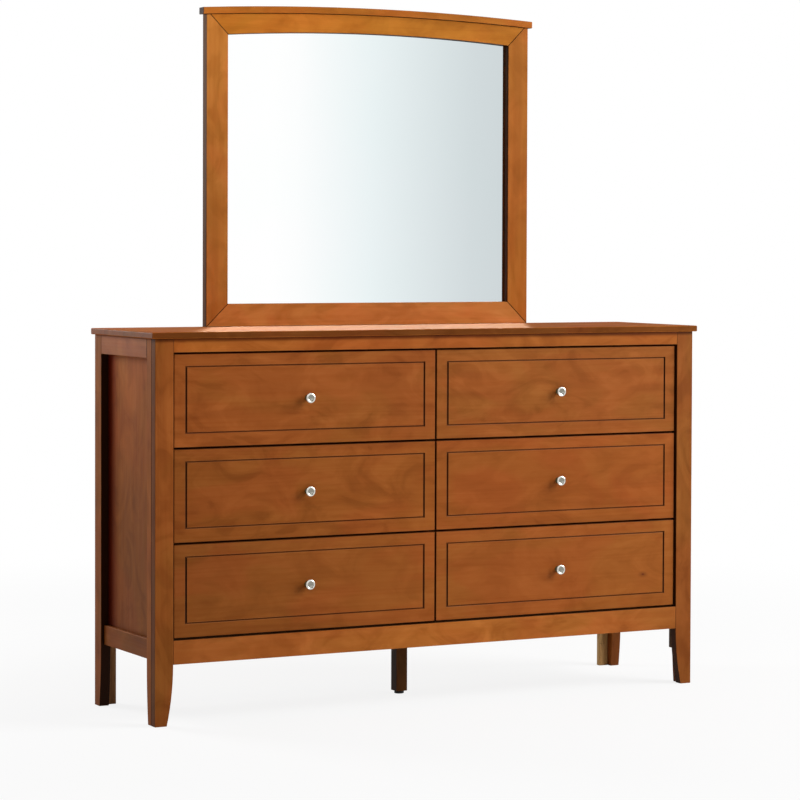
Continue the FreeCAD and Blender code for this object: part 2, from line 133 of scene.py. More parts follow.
def graded(tree, value, fromLow, fromHigh, toLow, toHigh):
    node = addNode(tree, "MapRange", interpolation_type="SMOOTHSTEP")
    feed(tree, node.inputs[0], value)
    for slot, number in zip(range(1, 5), (fromLow, fromHigh, toLow, toHigh)):
        node.inputs[slot].default_value = number
    return node.outputs[0]


def calc(tree, work, first, second):
    node = addNode(tree, "Math", operation=work)
    feed(tree, node.inputs[0], first)
    feed(tree, node.inputs[1], second)
    return node.outputs[0]


def blended(tree, factor, first, second, way="MIX"):
    node = addNode(tree, "Mix", data_type="RGBA", blend_type=way)
    feed(tree, node.inputs[0], factor)
    feed(tree, node.inputs[6], first)  # the colour sockets come after those for numbers and vectors
    feed(tree, node.inputs[7], second)
    return node.outputs[2]


def shaded(tree, factor, stops, way="EASE"):
    ramp = addNode(tree, "ValToRGB")
    ramp.color_ramp.interpolation = way
    while len(ramp.color_ramp.elements) < len(stops):
        ramp.color_ramp.elements.new(0.5)
    for element, (place, colour) in zip(ramp.color_ramp.elements, stops):
        element.position, element.color = place, rgb(colour)
    feed(tree, ramp.inputs[0], factor)
    return ramp.outputs[0]


def newFinish(name):
    finish = bpy.data.materials.new(name)
    finish.use_nodes = True
    tree = finish.node_tree
    tree.nodes.clear()
    skin = addNode(tree, "BsdfPrincipled")
    output = addNode(tree, "OutputMaterial")
    tree.links.new(skin.outputs[0], output.inputs[0])
    return finish, tree, skin


def bumped(tree, skin, height, depth, strength):
    relief = addNode(tree, "Bump")
    relief.inputs["Strength"].default_value = strength
    relief.inputs["Distance"].default_value = depth
    tree.links.new(height, relief.inputs["Height"])
    tree.links.new(relief.outputs["Normal"], skin.inputs["Normal"])


# wood: every board carries its own grain, tone, rubbed edges and routed lines, and some carry painted light
# and painted shade

caseStain = {  # red brown stain on the case and drawers
    "deep": (0.270, 0.0740, 0.0118), "body": (0.322, 0.0925, 0.0165), "warm": (0.366, 0.1090, 0.0214),
    "blush": (1.0, 0.945, 0.95), "moss": (0.945, 1.0, 0.93),  # redder here and greener there
    # line: the near-black of dark joints and routed lines, also the colour of the painted shade
    "rub": (0.380, 0.125, 0.0300), "line": (0.022, 0.006, 0.0015),
    "mottle": (6.5, 12.0, 12.0), "drift": (3.6, 8.0, 8.0), "figure": (11.0, 34.0, 34.0),
    "fibre": (4.0, 230.0, 230.0), "hair": (34.0, 1500.0, 1500.0), "ring": 30.0, "ringWave": 13.0,
    "flame": 6.5, "flameWave": 7.0, "flameStretch": 0.30, "flamePlace": (2.4, 5.0, 5.0),
    "ringStretch": 0.05,
    "figureDepth": 0.04, "fibreDepth": 0.022, "ringDepth": 0.03, "hairDepth": 0.035, "flameDepth": 0.11,
    "sheen": 0.06, "satin": (0.36, 0.46), "relief": {"depth": 0.0002, "strength": 0.08},
}
topStain = dict(caseStain, sheen=0.03, satin=(0.62, 0.72))  # the top is rubbed down, so it shines less
sideStain = dict(caseStain, sheen=0.068, satin=(0.40, 0.50))  # the ends were left with more varnish
glossStain = dict(sideStain, sheen=0.13)
mirrorStain = dict(  # the mirror's frame took the stain yellower
    caseStain, deep=(0.286, 0.0930, 0.0145), body=(0.330, 0.1110, 0.0190), warm=(0.362, 0.1240, 0.0230),
    sheen=0.03,
)


def stainedWood(name, stain, knot=None):
    finish, tree, skin = newFinish(name)
    grain = addNode(tree, "Attribute", attribute_name="grain").outputs["Vector"]
    mottle = clouds(tree, grain, stain["mottle"], detail=3.0, rough=0.52, warp=1.6)
    drift = clouds(tree, grain, stain["drift"], warp=0.8)
    figure = clouds(tree, grain, stain["figure"], warp=0.9)
    fibre = clouds(tree, grain, stain["fibre"], detail=4.0, rough=0.62)
    hair = clouds(tree, grain, stain["hair"], rough=0.6)
    slow = addNode(tree, "Mapping")  # rings of the tree, drawn out along the board
    slow.inputs["Scale"].default_value = (stain["ringStretch"], 1.0, 1.0)
    rings = addNode(tree, "TexWave", wave_type="RINGS", rings_direction="X")
    for key, value in (("Scale", stain["ring"]), ("Distortion", stain["ringWave"]), ("Detail", 1.6)):
        rings.inputs[key].default_value = value
    tree.links.new(grain, slow.inputs["Vector"])
    tree.links.new(slow.outputs["Vector"], rings.inputs["Vector"])
    bent = addNode(tree, "Mapping")  # long arcs of flame, on parts of a board only
    bent.inputs["Scale"].default_value = (stain["flameStretch"], 1.0, 1.0)
    flame = addNode(tree, "TexWave", wave_type="BANDS", bands_direction="Y")
    for key, value in (("Scale", stain["flame"]), ("Distortion", stain["flameWave"]), ("Detail", 1.2),
                       ("Detail Scale", 0.6)):
        flame.inputs[key].default_value = value
    tree.links.new(grain, bent.inputs["Vector"])
    tree.links.new(bent.outputs["Vector"], flame.inputs["Vector"])

    colour = shaded(tree, mottle, [(0.34, stain["deep"]), (0.50, stain["body"]), (0.66, stain["warm"])])
    calm = addNode(tree, "Attribute", attribute_name="calm").outputs["Fac"]  # some boards are plainer
    colour = blended(tree, calm, colour, rgb(stain["body"]))
    tint = shaded(tree, drift, [(0.40, stain["blush"]), (0.60, stain["moss"])])
    colour = blended(tree, 1.0, colour, tint, "MULTIPLY")
    dark = 1.0 - stain["flameDepth"]
    arcs = shaded(tree, flame.outputs[1],
                  [(0.05, (dark, dark * 0.97, dark * 0.94)), (0.75, white)])
    flamed = graded(tree, clouds(tree, grain, stain["flamePlace"], detail=1.0), 0.44, 0.62, 0.0, 1.0)
    colour = blended(tree, flamed, colour, arcs, "MULTIPLY")
    marks = ((figure, 0.34, 0.62, "figureDepth"), (fibre, 0.30, 0.62, "fibreDepth"),
             (rings.outputs[1], 0.05, 0.65, "ringDepth"), (hair, 0.32, 0.46, "hairDepth"))
    for mark, low, high, depth in marks:
        dark = 1.0 - stain[depth]
        veil = shaded(tree, mark, [(low, (dark, dark * 0.97, dark * 0.93)), (high, white)])
        colour = blended(tree, 1.0, colour, veil, "MULTIPLY")
    if knot:
        colour = knotted(tree, colour, knot)
    # the tone holds the stain's own depth, and on some boards painted light and painted shade: brighter
    # towards the top, bands of painted shadow
    tone = addNode(tree, "Attribute", attribute_name="tone").outputs["Color"]
    colour = blended(tree, 1.0, colour, tone, "MULTIPLY")
    rub = addNode(tree, "Attribute", attribute_name="rub").outputs["Fac"]
    worn = calc(tree, "MULTIPLY", rub, graded(tree, drift, 0.35, 0.65, 0.15, 0.6))
    colour = blended(tree, worn, colour, rgb(stain["rub"]))
    # the line darkens joints and routed lines, and lays painted shade on faces turned from the light and on
    # edges beside the gaps
    line = addNode(tree, "Attribute", attribute_name="line").outputs["Fac"]
    colour = blended(tree, line, colour, rgb(stain["line"]))
    tree.links.new(colour, skin.inputs["Base Color"])
    satin = graded(tree, fibre, 0.3, 0.7, stain["satin"][1], stain["satin"][0])
    tree.links.new(satin, skin.inputs["Roughness"])
    skin.inputs["Specular IOR Level"].default_value = stain["sheen"]
    bumped(tree, skin, calc(tree, "ADD", fibre, hair), **stain["relief"])
    return finish


drawerKnot = {
    "place": (0.598, -0.182, 0.2845), "spot": (0.0055, 0.0028), "dark": (0.120, 0.026, 0.006),
    "ring": (0.8, 3.6, 0.45), "heart": (0.35, 1.15, 0.9),  # where it starts to fade, where it ends, how dark
}


def knotted(tree, colour, knot):  # a small knot with a shaded ring round it
    spot = addNode(tree, "TexCoord").outputs["Object"]
    centred = addNode(tree, "Mapping", vector_type="TEXTURE")
    centred.inputs["Location"].default_value = knot["place"]
    centred.inputs["Scale"].default_value = (knot["spot"][0], 1.0, knot["spot"][1])
    tree.links.new(spot, centred.inputs["Vector"])
    away = addNode(tree, "VectorMath", operation="LENGTH")
    tree.links.new(centred.outputs["Vector"], away.inputs[0])
    far, dark = away.outputs["Value"], rgb(knot["dark"])
    for part in ("ring", "heart"):
        start, end, depth = knot[part]
        colour = blended(tree, graded(tree, far, start, end, depth, 0.0), colour, dark)
    return colour


plainStain = {  # hidden boards, wiped with thin stain
    "pale": (0.360, 0.190, 0.0750), "body": (0.300, 0.145, 0.0520), "dark": (0.225, 0.100, 0.0330),
    "rub": (0.420, 0.250, 0.1200), "worn": 0.45, "sheen": 0.2, "satin": (0.52, 0.66),
    "fibre": (5.0, 260.0, 260.0), "mottle": (3.0, 14.0, 14.0), "speck": (60.0, 900.0, 900.0),
    "fibreVeil": (0.76, 0.73, 0.68), "speckVeil": (0.62, 0.56, 0.50),
    "relief": {"depth": 0.0003, "strength": 0.18},
}
panelStain = dict(  # peeled veneer of the thin panels
    plainStain, pale=(0.330, 0.165, 0.0620), body=(0.275, 0.128, 0.0440), dark=(0.205, 0.088, 0.0270),
    fibre=(7.0, 190.0, 190.0), mottle=(2.2, 9.0, 9.0), sheen=0.15,
)


def plainWood(name, stain):
    finish, tree, skin = newFinish(name)
    grain = addNode(tree, "Attribute", attribute_name="grain").outputs["Vector"]
    mottle = clouds(tree, grain, stain["mottle"], detail=3.0, rough=0.55, warp=1.0)
    fibre = clouds(tree, grain, stain["fibre"], detail=4.0, rough=0.6)
    specks = clouds(tree, grain, stain["speck"], detail=1.0)
    colour = shaded(tree, mottle, [(0.32, stain["dark"]), (0.52, stain["body"]), (0.72, stain["pale"])])
    for mark, low, high, veil in ((fibre, 0.30, 0.60, "fibreVeil"), (specks, 0.28, 0.38, "speckVeil")):
        marks = shaded(tree, mark, [(low, stain[veil]), (high, white)])
        colour = blended(tree, 1.0, colour, marks, "MULTIPLY")
    tone = addNode(tree, "Attribute", attribute_name="tone").outputs["Color"]
    colour = blended(tree, 1.0, colour, tone, "MULTIPLY")
    rub = addNode(tree, "Attribute", attribute_name="rub").outputs["Fac"]
    colour = blended(tree, calc(tree, "MULTIPLY", rub, stain["worn"]), colour, rgb(stain["rub"]))
    tree.links.new(colour, skin.inputs["Base Color"])
    satin = graded(tree, fibre, 0.3, 0.7, stain["satin"][1], stain["satin"][0])
    tree.links.new(satin, skin.inputs["Roughness"])
    skin.inputs["Specular IOR Level"].default_value = stain["sheen"]
    bumped(tree, skin, calc(tree, "ADD", fibre, specks), **stain["relief"])
    return finish


nickel = {
    # neck: the near-black colour of the painted shade under the knob's head
    "bright": (0.98, 0.97, 0.91), "dull": (0.90, 0.88, 0.80), "neck": (0.085, 0.070, 0.030),
    "rough": (0.06, 0.15), "haze": (160.0, 160.0, 160.0), "scuff": (2600.0, 500.0, 900.0),
    "relief": {"depth": 0.00002, "strength": 0.08},
}


def polishedNickel(name, metal):
    finish, tree, skin = newFinish(name)
    spot = addNode(tree, "TexCoord").outputs["Object"]
    haze = clouds(tree, spot, metal["haze"], detail=3.0, rough=0.6, warp=0.4)
    scuffs = clouds(tree, spot, metal["scuff"], rough=0.6)
    colour = shaded(tree, haze, [(0.35, metal["dull"]), (0.60, metal["bright"])])
    # painted shade on the neck, and a painted reflection on the dish
    neck = addNode(tree, "Attribute", attribute_name="neck").outputs["Fac"]
    colour = blended(tree, neck, colour, rgb(metal["neck"]))
    tree.links.new(colour, skin.inputs["Base Color"])
    polish = graded(tree, haze, 0.3, 0.7, metal["rough"][1], metal["rough"][0])
    tree.links.new(polish, skin.inputs["Roughness"])
    skin.inputs["Metallic"].default_value = 1.0
    bumped(tree, skin, scuffs, **metal["relief"])
    return finish


silver = {"clear": white, "faint": (0.990, 1.0, 0.997), "rough": (0.0, 0.010), "haze": (3.0, 3.0, 3.0)}


def silveredGlass(name, coat):
    finish, tree, skin = newFinish(name)
    spot = addNode(tree, "TexCoord").outputs["Object"]
    haze = clouds(tree, spot, coat["haze"])
    tint = shaded(tree, haze, [(0.35, coat["faint"]), (0.65, coat["clear"])])
    tree.links.new(tint, skin.inputs["Base Color"])
    tree.links.new(graded(tree, haze, 0.4, 0.75, *coat["rough"]), skin.inputs["Roughness"])
    skin.inputs["Metallic"].default_value = 1.0
    return finish


blackFoot = {
    "black": (0.012, 0.012, 0.013), "scuffed": (0.035, 0.034, 0.033), "sheen": 0.35, "satin": (0.45, 0.6),
    "speckle": (900.0, 900.0, 900.0), "scuff": (120.0, 120.0, 320.0),
    "relief": {"depth": 0.0001, "strength": 0.25},
}


def mouldedBlack(name, plastic):
    finish, tree, skin = newFinish(name)
    spot = addNode(tree, "TexCoord").outputs["Object"]
    speckle = clouds(tree, spot, plastic["speckle"], rough=0.6)
    scuff = clouds(tree, spot, plastic["scuff"], detail=3.0, rough=0.6, warp=0.8)
    tree.links.new(shaded(tree, scuff, [(0.45, plastic["black"]), (0.75, plastic["scuffed"])]),
                   skin.inputs["Base Color"])
    tree.links.new(graded(tree, speckle, 0.3, 0.7, *plastic["satin"]), skin.inputs["Roughness"])
    skin.inputs["Specular IOR Level"].default_value = plastic["sheen"]
    bumped(tree, skin, speckle, **plastic["relief"])
    return finish


zincScrew = dict(nickel, bright=(0.52, 0.49, 0.43), dull=(0.33, 0.30, 0.26), rough=(0.28, 0.45))

finishes = {
    "case": stainedWood("stainedCase", caseStain),
    "top": stainedWood("stainedTop", topStain),
    "side": stainedWood("stainedSide", sideStain),
    "gloss": stainedWood("stainedSideRail", glossStain),
    "knotted": stainedWood("stainedKnotted", caseStain, drawerKnot),
    "mirror": stainedWood("stainedMirrorFrame", mirrorStain),
    "plain": plainWood("plainBoards", plainStain),
    "panel": plainWood("thinPanels", panelStain),
    "nickel": polishedNickel("knobNickel", nickel),
    "zinc": polishedNickel("screwZinc", zincScrew),
    "glass": silveredGlass("silveredGlass", silver),
    "black": mouldedBlack("blackFoot", blackFoot),
}
print("finishes made:", len(finishes))


# boards: copies of the frame's boards with eased edges

easing = {  # how edges are found and rounded, where a board doesn't say otherwise
    "weld": 0.00001, "flat": math.radians(0.3), "sharp": math.radians(32), "holeRim": 0.003,
    "frontDepth": 0.0005, "segments": 2, "seam": 0.7, "reach": 0.0014, "evenness": 80,
}
routing = {  # the routed line of a drawer front, from the edges of the front and from its face
    "margin": 0.02, "uprightBand": 0.036, "deepest": 0.0045, "face": 0.0001, "lip": 0.0008, "upward": 0.5,
}
grainLay = {  # each board's own shift in the grain, and how much of the stain it took
    "along": (0.0, 9.0), "across": (-0.05, 0.05), "deep": (0.05, 0.11), "stain": (0.98, 1.02),
}
facing = 0.9  # a face looks one way when its normal is at least this near to it


def addPiece(name, bm, finish, body, node=None):  # the finished mesh, and what it rides on
    mesh = bpy.data.meshes.new(name)
    bm.to_mesh(mesh)
    bm.free()
    piece = bpy.data.objects.new(name, mesh)
    scene.collection.objects.link(piece)
    mesh.materials.append(finishes[finish])
    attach(piece, body)
    if node:
        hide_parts(node)
    return piece


def easeEdges(bm, edges, size, segments):
    made = bmesh.ops.bevel(bm, geom=edges, offset=size, offset_type="OFFSET", segments=segments, profile=0.5,
                           affect="EDGES", material=-1, clamp_overlap=True)
    return made["faces"]


def islandsOf(bm):  # the loose boards inside one piece
    seen, found = set(), []
    for start in bm.verts:
        if start in seen:
            continue
        seen.add(start)
        group, waiting = [], [start]
        while waiting:
            vert = waiting.pop()
            group.append(vert)
            for edge in vert.link_edges:
                other = edge.other_vert(vert)
                if other not in seen:
                    seen.add(other)
                    waiting.append(other)
        found.append(group)
    return found


def shadeAt(stops, along):  # the tone between two of the stops along a board
    spot = along * (len(stops) - 1)
    first = min(int(spot), len(stops) - 2)
    return stops[first] + (stops[first + 1] - stops[first]) * (spot - first)


def cutAcross(bm, place, way):
    bmesh.ops.bisect_plane(bm, geom=bm.verts[:] + bm.edges[:] + bm.faces[:], dist=easing["weld"],
                           plane_co=place, plane_no=way)


def cutStops(bm, node, count):  # a cut across the board at each stop, so that its tone can turn there
    low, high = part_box(node)
    long = max(range(3), key=lambda k: high[k] - low[k])
    across = Vector([float(k == long) for k in range(3)])
    for step in range(1, count - 1):
        cutAcross(bm, low + (high - low) * step / (count - 1), across)


def layGrain(bm, name, shade, plainness, tint):
    grain, tone = bm.verts.layers.float_vector["grain"], bm.verts.layers.float_vector["tone"]
    calm = bm.verts.layers.float["calm"]
    for number, group in enumerate(islandsOf(bm)):
        chance = random.Random(f"{name} {number}")
        low = [min(v.co[k] for v in group) for k in range(3)]
        high = [max(v.co[k] for v in group) for k in range(3)]
        order = sorted(range(3), key=lambda k: low[k] - high[k])  # the grain runs along the longest side
        shift = [chance.uniform(*grainLay[way]) for way in ("along", "across", "deep")]
        depth, long = chance.uniform(*grainLay["stain"]), order[0]
        for vert in group:
            along = (vert.co[long] - low[long]) / (high[long] - low[long])
            vert[grain] = [vert.co[k] - (low[k] + high[k]) / 2 + move for k, move in zip(order, shift)]
            vert[tone] = Vector(tint) * depth * shadeAt(shade, along)
            vert[calm] = plainness


def inFront(at, low, high):  # in the routed line of a drawer front, or on its lips
    margin = routing["margin"]
    inside = all(low[k] + margin < at[k] < high[k] - margin for k in (0, 2))
    return inside and at.y < low.y + routing["deepest"]


def markLines(bm, low, high, depths):  # the routed line of a drawer front, stained dark, with painted shade making it darker where it is upright and lighter on the lip facing up
    line = bm.faces.layers.float["line"]
    for face in bm.faces:
        at = face.calc_center_median()
        if inFront(at, low, high) and at.y > low.y + routing["face"]:
            if min(at.x - low.x, high.x - at.x) < routing["uprightBand"]:
                face[line] = depths["upright"]
            elif at.y > low.y + routing["lip"]:
                face[line] = depths["lip" if face.normal.z > routing["upward"] else "level"]


def paintGapShade(bm, low, high, rim):  # painted shade on the rounded edges at top, bottom and right, where they face the gaps
    line = bm.faces.layers.float["line"]
    for face in bm.faces:
        at = face.calc_center_median()
        away = min(high.x - at.x, at.z - low.z, high.z - at.z)
        slanted = -rim["flat"] < face.normal.y < -rim["square"]
        if away < rim["wide"] and slanted:
            face[line] = max(face[line], rim["dark"])


def allFaces():  # every board's faces, to find where boards meet
    corners, faces, owners = [], [], []
    for name in sorted(frame["nodes"]):
        mesh = frame["nodes"][name].data
        first = len(corners)
        corners += [v.co.copy() for v in mesh.vertices]
        faces += [[first + k for k in p.vertices] for p in mesh.polygons]
        owners += [name] * len(mesh.polygons)
    return BVHTree.FromPolygons(corners, faces), owners


meeting, owners = allFaces()


def markEdges(bm, node, edges, seam, reach):  # dark where boards meet, and painted shade where an edge lies across a narrow gap from another board; rubbed pale where an edge is free
    rub, line = bm.faces.layers.float["rub"], bm.faces.layers.float["line"]
    for face in edges:
        near = meeting.find_nearest_range(face.calc_center_median(), reach)
        if any(owners[found[2]] != node for found in near):
            face[line] = seam
        else:
            face[rub] = 1.0


def markDim(bm, dims):  # faces darkened by the way they face: painted shade on faces turned from the light, and darker end grain on the ends of the top
    line = bm.faces.layers.float["line"]
    for way, depth in dims:
        for face in bm.faces:
            if face.normal.dot(Vector(way)) > facing:
                face[line] = max(face[line], depth)


def turnedTo(axis, place):  # from a piece standing up at the origin to its own place
    turn = Vector((0, 0, 1)).rotation_difference(Vector(axis))
    return Matrix.Translation(place) @ turn.to_matrix().to_4x4()


def cutBores(bm, bores):  # screw holes, wider at the face where the head is sunk
    tools, proud = bmesh.new(), 0.0001  # the cutter stands out of the face by this much
    for place in bores["places"]:
        made = bmesh.ops.create_cone(tools, cap_ends=True, segments=24, radius1=bores["foot"],
                                     radius2=bores["mouth"], depth=bores["depth"])
        bmesh.ops.translate(tools, verts=made["verts"], vec=(0.0, 0.0, proud - bores["depth"] / 2))
        bmesh.ops.transform(tools, verts=made["verts"], matrix=turnedTo(bores["axis"], place))
    pair = []
    for name, shape in (("uncutBoard", bm), ("holeTools", tools)):
        mesh = bpy.data.meshes.new(name)
        shape.to_mesh(mesh)
        shape.free()
        pair.append(bpy.data.objects.new(name, mesh))
        scene.collection.objects.link(pair[-1])
    cut = pair[0].modifiers.new("holes", "BOOLEAN")
    cut.operation, cut.solver, cut.object = "DIFFERENCE", "EXACT", pair[1]
    mesh = bpy.data.meshes.new_from_object(pair[0].evaluated_get(bpy.context.evaluated_depsgraph_get()))
    bored = bmesh.new()
    bored.from_mesh(mesh)
    for piece in pair:
        bpy.data.objects.remove(piece)
    return bored


def edgesToEase(bm, node, board):
    sharp = [e for e in bm.edges
             if len(e.link_faces) == 2 and e.is_convex and e.calc_face_angle() > easing["sharp"]]
    if "bores" in board:  # the rims of the holes stay sharp
        sharp = [e for e in sharp if e.calc_length() > easing["holeRim"]]
    if board.get("faceOnly"):  # only the edges round the front, as the rebate behind is left sharp
        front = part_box(node)[0].y + easing["frontDepth"]
        sharp = [e for e in sharp if all(v.co.y < front for v in e.verts)]
    return sharp


def paintShadeBands(bm, way, corner):  # painted shade: the tone darkened band by band along one way, as in a shadow or a shaded corner
    tone, slack = bm.verts.layers.float_vector["tone"], 2 * easing["weld"]
    for (start, first), (end, last) in zip(corner, corner[1:]):
        for vert in bm.verts:
            spot = vert.co.dot(way)
            if start < spot - slack and (spot - slack <= end or last is corner[-1][1]):
                into = min((spot - start) / (end - start), 1.0)
                shadow = Vector(first).lerp(Vector(last), into)
                vert[tone] = [vert[tone][k] * shadow[k] for k in range(3)]


def easedBoard(node, board):
    source = frame["nodes"][node]
    bm = bmesh.new()
    bm.from_mesh(source.data)
    bmesh.ops.remove_doubles(bm, verts=bm.verts, dist=easing["weld"])
    bmesh.ops.dissolve_limit(bm, angle_limit=easing["flat"], verts=bm.verts, edges=bm.edges)
    if node in board.get("bores", {}):
        bm = cutBores(bm, board["bores"][node])
    for layer in ("rub", "line"):
        bm.faces.layers.float.new(layer)
    for layer in ("grain", "tone"):
        bm.verts.layers.float_vector.new(layer)
    bm.verts.layers.float.new("calm")
    sharp = edgesToEase(bm, node, board)
    low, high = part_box(node)
    lips = [e for e in sharp if "line" in board and inFront(e.verts[0].co, low, high)]
    others = [e for e in sharp if e not in lips]
    seam, reach = board.get("seam", easing["seam"]), board.get("reach", easing["reach"])
    for edges, ease in ((lips, board.get("lipEase", 0.0)), (others, board["ease"])):
        rounded = easeEdges(bm, edges, ease, easing["segments"])
        markEdges(bm, node, rounded, seam, reach)
    markDim(bm, board.get("dim", ()))
    if "line" in board:
        markLines(bm, low, high, board["line"])
        paintGapShade(bm, low, high, board["rim"])
    shade = board["tones"][node] if "tones" in board else board["tone"]
    shade = shade if isinstance(shade, tuple) else (shade, shade)
    cutStops(bm, node, len(shade))
    # bands of painted shade: a painted shadow under the overhang, painted shade in the recess of the sides
    way, corner = Vector(board.get("shadeBandWay", (0, 1, 0))), board.get("corner", [])
    for stop in corner:
        cutAcross(bm, way * stop[0], way)
    layGrain(bm, node, shade, board.get("calm", {}).get(node, 0.0), board.get("tint", {}).get(node, white))
    paintShadeBands(bm, way, corner)
    for face in bm.faces:
        face.smooth = True
        face.material_index = 1 if "ends" in board and abs(face.normal.x) > facing else 0
    piece = addPiece(node + "_eased", bm, board["finish"], source["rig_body"], node)
    if "ends" in board:
        piece.data.materials.append(finishes[board["ends"]])
    even = piece.modifiers.new("evenFaces", "WEIGHTED_NORMAL")
    even.keep_sharp = False
    even.weight = easing["evenness"]


rows, columns = ("top", "middle", "bottom"), ("left", "right")
drawerNames = [f"drawer_{row}_{column}" for row in rows for column in columns]


def both(name):
    return [name + "_left", name + "_right"]


ends = [((-1, 0, 0), 0.49), ((1, 0, 0), 0.49)]  # end grain of the top drinks more stain; on the posts these are side faces, darkened as painted shade

topBoard = {
    "nodes": ["top_board"], "finish": "top", "slot": "stained_wood", "ease": 0.0006, "ends": "gloss",
    "tones": {"top_board": (1.38, 1.12, 1.32)}, "dim": [((0, -1, 0), 0.58)] + ends,
}
overhangShadow = {  # painted shadow: a dark line under the overhang of the top
    "shadeBandWay": (0, 0, 1),
    "corner": [(0.8855, white), (0.8885, (0.82, 0.80, 0.75)), (0.8905, (0.54, 0.49, 0.36)),
               (0.8925, (0.41, 0.34, 0.20)), (0.8968, (0.39, 0.32, 0.18))],
}
posts = {
    **overhangShadow, "nodes": ["front_stile_left"], "finish": "case", "slot": "stained_wood", "ease": 0.0010,
    "dim": ends,
    # tones from bottom to top, darker low down: painted shade
    "tones": {"front_stile_left": (0.70, 0.97, 1.02), "front_stile_right": (0.68, 0.86, 0.78)},
    "tint": {"front_stile_left": (1.01, 1.04, 1.0), "front_stile_right": (1.0, 1.05, 1.03)},
}
# the right post's inner face beside the drawers gets painted shade
farPost = dict(posts, nodes=["front_stile_right"], dim=[((-1, 0, 0), 0.85)] + ends[1:])
sideFrames = {
    "nodes": both("side_stile_front") + both("side_bottom_rail"),
    "finish": "side", "slot": "stained_wood", "ease": 0.0016, "seam": 0.9,
    "tones": {
        # the front stiles brighter towards the top and the bottom rails darker: painted light and painted
        # shade
        "side_stile_front_left": (0.90, 1.10), "side_stile_front_right": (0.90, 1.10),
        "side_bottom_rail_left": 0.71, "side_bottom_rail_right": 0.71,
    },
}
sideTopRails = {
    "nodes": both("side_top_rail"), "finish": "gloss", "slot": "stained_wood", "ease": 0.0016, "seam": 0.9,
    "tone": 1.10,
}
sideBackStiles = {  # painted shade: their front edge, the wall of the recess, is darkened, and they grow darker low down
    "nodes": ["side_stile_back_left"], "finish": "side", "slot": "stained_wood", "ease": 0.0012, "seam": 0.9,
    "tones": {name: (0.70, 0.92) for name in both("side_stile_back")}, "dim": [((0, -1, 0), 0.99)],
}
# the right one's recess wall gets less painted shade
farBackStile = dict(sideBackStiles, nodes=["side_stile_back_right"], dim=[((0, -1, 0), 0.41)])
sidePanels = {
    "nodes": both("side_panel"), "finish": "side", "slot": "stained_wood", "ease": 0.0005,
    # tones from bottom to top, brighter towards the top: painted light
    "tones": {name: (0.75, 0.81, 1.27) for name in both("side_panel")},
    "tint": {name: (1.0, 1.0, 0.92) for name in both("side_panel")},
    "corner": [(0.072, white), (0.092, (0.80, 0.64, 0.54)), (0.106, (0.60, 0.36, 0.26)),
               (0.120, (0.42, 0.17, 0.11)), (0.134, (0.28, 0.07, 0.04)),
               (0.142, (0.15, 0.03, 0.015))],  # painted shade, dark red into the back corner of the recess
}
frontRails = {
    # faces turned up get painted shade
    "finish": "case", "slot": "stained_wood", "ease": 0.0009, "dim": [((0, 0, 1), 0.9)],
    "tones": {"front_top_rail": (1.36, 1.07, 1.11), "front_bottom_rail": (1.00, 1.50, 1.02)},
    "tint": {"front_top_rail": (1.04, 1.0, 0.92), "front_bottom_rail": (1.0, 1.06, 1.09)},
}
frontTopRail = {**frontRails, **overhangShadow, "nodes": ["front_top_rail"]}
frontBottomRail = {**frontRails, "nodes": ["front_bottom_rail"]}
# the leg under the case is darkened, its left face almost black: painted shade
centreLeg = {
    "nodes": ["centre_leg"], "finish": "case", "slot": "stained_wood", "ease": 0.0009, "tone": 0.36,
    "tint": {"centre_leg": (0.92, 1.25, 1.50)}, "dim": [((-1, 0, 0), 0.9)],
}
drawerFronts = {
    "nodes": [d + "_front" for d in drawerNames if d != "drawer_bottom_right"], "finish": "case",
    "slot": "stained_wood", "ease": 0.0005, "lipEase": 0.0009,
    # rim: painted shade on the rounded edges beside the gaps; line: routed lines stained dark, with painted
    # shade where they are upright
    "rim": {"wide": 0.0011, "dark": 0.75, "flat": 0.97, "square": 0.04},
    "line": {"upright": 1.0, "level": 0.67, "lip": 0.13},
    # faces at the sides and top, in the gaps, get painted shade, and the reach darkens edges that lie across
    # a gap from another board as painted shade
    "dim": [((-1, 0, 0), 0.85), ((1, 0, 0), 0.85), ((0, 0, 1), 0.3)], "reach": 0.0055,
    "tint": {"drawer_top_right_front": (1.03, 1.07, 1.10), "drawer_middle_right_front": (1.06, 1.0, 0.97),
             "drawer_middle_left_front": (1.03, 1.0, 0.94)},
    "tones": {  # left and right end of each front
        "drawer_top_left_front": (1.05, 0.97), "drawer_top_right_front": (0.98, 0.92),
        "drawer_middle_left_front": (0.82, 0.99), "drawer_middle_right_front": (0.97, 0.97),
        "drawer_bottom_left_front": (0.79, 1.08), "drawer_bottom_right_front": (1.02, 1.02),
    },
    "calm": {
        "drawer_middle_right_front": 0.35, "drawer_bottom_left_front": 0.45,
        "drawer_bottom_right_front": 0.4,
    },
}
knottedFront = dict(drawerFronts, nodes=["drawer_bottom_right_front"], finish="knotted")
mirrorStiles = {
    "nodes": both("mirror_stile"), "finish": "mirror", "slot": "stained_wood", "ease": 0.0011, "seam": 0.85,
    "faceOnly": True,
    # the left stile brighter towards the top: painted light
    "tones": {"mirror_stile_left": (1.25, 1.42, 2.00), "mirror_stile_right": (1.30, 1.08, 1.19)},
    "tint": {"mirror_stile_left": (1.0, 1.03, 1.18), "mirror_stile_right": (1.04, 1.0, 0.95)},
    # the side faces get painted shade
    "dim": [((-1, 0, 0), 0.88), ((1, 0, 0), 0.75)],
}
